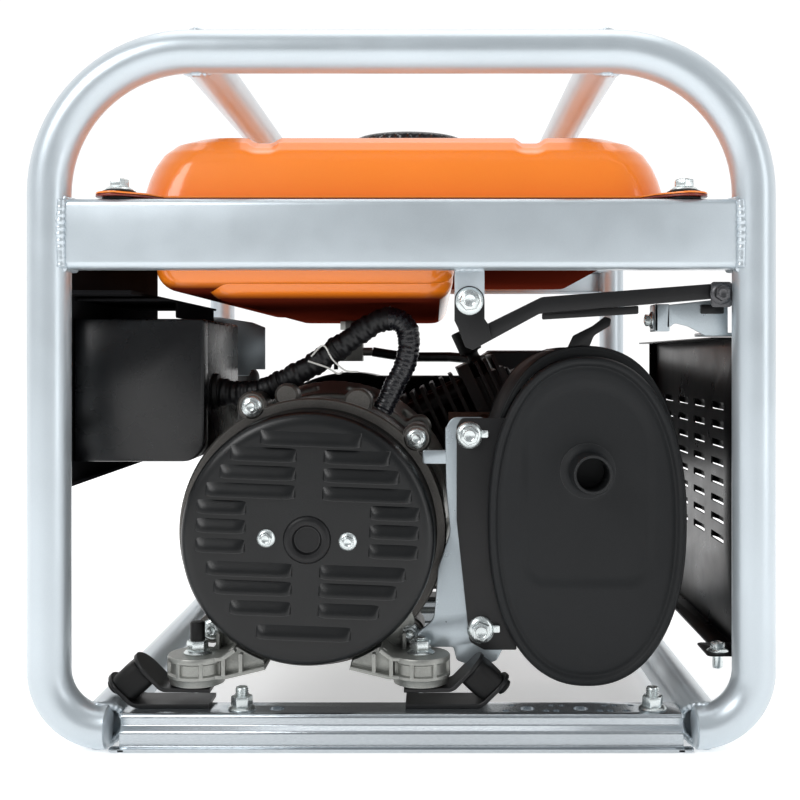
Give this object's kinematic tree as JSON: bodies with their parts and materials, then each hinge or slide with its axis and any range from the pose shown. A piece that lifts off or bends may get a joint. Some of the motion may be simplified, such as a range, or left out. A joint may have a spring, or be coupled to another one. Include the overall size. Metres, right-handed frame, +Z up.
{
  "type": "portable generator",
  "caption": "Open-frame petrol generator: alternator, inclined engine, oval muffler and recoil starter under a fuel tank, inside a welded tube frame",
  "frame": {"origin": "on the floor under the middle of the tube frame", "axes": "+Z up, +X towards the muffler and its guard, -Y towards the alternator's louvred end cover, so the recoil starter faces +Y and the control panel faces -X"},
  "size_m": [0.44, 0.6, 0.423],
  "materials": {
    "silver_paint": "silver powder coat, semi-gloss",
    "zinc_sheet": "zinc-plated pressed sheet",
    "orange_paint": "gloss orange paint",
    "gloss_black_paint": "gloss black paint",
    "satin_black_paint": "satin black paint",
    "matte_black_paint": "matte heat-resistant black paint",
    "cast_aluminium": "as-cast, sandblasted",
    "laminations": "varnished steel laminations",
    "copper": "varnished copper wire",
    "bearing_steel": "ground steel",
    "dark_steel": "machined and oiled",
    "black_plastic": "moulded, fine grain",
    "gloss_black_plastic": "moulded, polished",
    "rubber_black": "moulded rubber",
    "zinc_bolts": "bright zinc plate",
    "pipe_steel": "heat-stained steel",
    "engine_black": "heat-resistant black over cast fins",
    "socket_black": "moulded",
    "meter_white": "clear-faced dial",
    "terminal_brass": "turned brass",
    "switch_red": "moulded",
    "rope": "braided cord",
    "harness_sleeve": "corrugated and taped sleeve"
  },
  "bodies": {
    "frame": {"front_hoop": "silver_paint", "rear_hoop": "silver_paint", "base_side_tubes": "silver_paint", "top_side_tubes": "silver_paint", "front_tank_rail": "silver_paint", "rear_tank_rail": "silver_paint", "front_base_rail": "zinc_sheet", "rear_base_rail": "zinc_sheet", "tank_upper_shell": "orange_paint", "tank_lower_shell": "orange_paint", "tank_washers": "rubber_black", "alternator_end_cover": "satin_black_paint", "alternator_end_bracket": "cast_aluminium", "stator_core": "laminations", "stator_windings": "copper", "engine_adapter": "cast_aluminium", "brush_holder": "black_plastic", "bearings": "bearing_steel", "mount_brackets": "satin_black_paint", "mount_rubbers": "rubber_black", "m8_fasteners": "zinc_bolts", "m6_flange_bolts": "zinc_bolts", "muffler_shell": "matte_black_paint", "muffler_outlet": "matte_black_paint", "muffler_bracket": "zinc_sheet", "muffler_side_plate": "satin_black_paint", "muffler_top_shield": "gloss_black_paint", "muffler_guard": "gloss_black_paint", "guard_arm": "satin_black_paint", "exhaust_pipe": "pipe_steel", "control_panel": "gloss_black_paint", "control_box": "black_plastic", "panel_bracket": "zinc_sheet", "ac_outlets": "socket_black", "voltmeter": "meter_white", "terminals": "terminal_brass", "wiring_harness": "harness_sleeve", "crankcase": "cast_aluminium", "cylinder_block": "engine_black", "cylinder_head": "engine_black", "valve_cover": "gloss_black_paint", "spark_plug": "rubber_black", "carburettor": "cast_aluminium", "air_cleaner": "black_plastic", "fan_housing": "gloss_black_paint", "recoil_housing": "gloss_black_paint", "fuel_tap": "cast_aluminium", "fuel_hose": "rubber_black", "starter_rope": "rope"},
    "crank": {"crankshaft": "dark_steel", "rotor": "laminations", "flywheel_fan": "cast_aluminium"},
    "reel": {"recoil_reel": "black_plastic"},
    "handle": {"pull_handle": "black_plastic"},
    "tank_cap": {"fuel_cap": "gloss_black_plastic"},
    "tap_lever": {"fuel_tap_lever": "black_plastic"},
    "choke": {"choke_lever": "zinc_bolts"},
    "switch": {"engine_switch": "switch_red"},
    "breaker": {"breaker_button": "black_plastic"},
    "oil_plug": {"oil_cap": "black_plastic"}
  },
  "joints": [
    {"name": "crank_spin", "type": "hinge", "parent": "frame", "child": "crank", "pos_m": [-0.057, 0, 0.121], "axis": [0, 1, 0], "continuous": true},
    {"name": "handle_pull", "type": "slide", "parent": "frame", "child": "handle", "axis": [-1, 0, 0], "range_m": [0, 0.55], "stiffness_N_per_m": 20, "springref_m": -0.3, "deforming": ["starter_rope"]},
    {"name": "reel_spin", "type": "hinge", "parent": "frame", "child": "reel", "pos_m": [-0.057, 0.172, 0.121], "axis": [0, -1, 0], "range_deg": [0, 705]},
    {"name": "fuel_cap_twist", "type": "hinge", "parent": "frame", "child": "tank_cap", "pos_m": [0, -0.09, 0.38], "axis": [0, 0, 1], "range_deg": [0, 90]},
    {"name": "fuel_tap_turn", "type": "hinge", "parent": "frame", "child": "tap_lever", "pos_m": [-0.0733, 0.152, 0.241], "axis": [1, 0, 0], "range_deg": [0, 90]},
    {"name": "choke_swing", "type": "hinge", "parent": "frame", "child": "choke", "pos_m": [0.103, 0.084, 0.176], "axis": [1, 0, 0], "range_deg": [0, 60]},
    {"name": "engine_switch_rock", "type": "hinge", "parent": "frame", "child": "switch", "pos_m": [-0.201, -0.022, 0.236], "axis": [0, 1, 0], "range_deg": [0, 16]},
    {"name": "breaker_press", "type": "slide", "parent": "frame", "child": "breaker", "axis": [1, 0, 0], "range_m": [0, 0.003], "stiffness_N_per_m": 300, "springref_m": -0.002},
    {"name": "oil_cap_turn", "type": "hinge", "parent": "frame", "child": "oil_plug", "pos_m": [-0.136, 0.052, 0.092], "axis": [-0.8878, 0, 0.4603], "range_deg": [0, 540]}
  ],
  "couplings": [
    {"joint": "reel_spin", "follows": "handle_pull", "rad_per_m": 22.222}
  ]
}
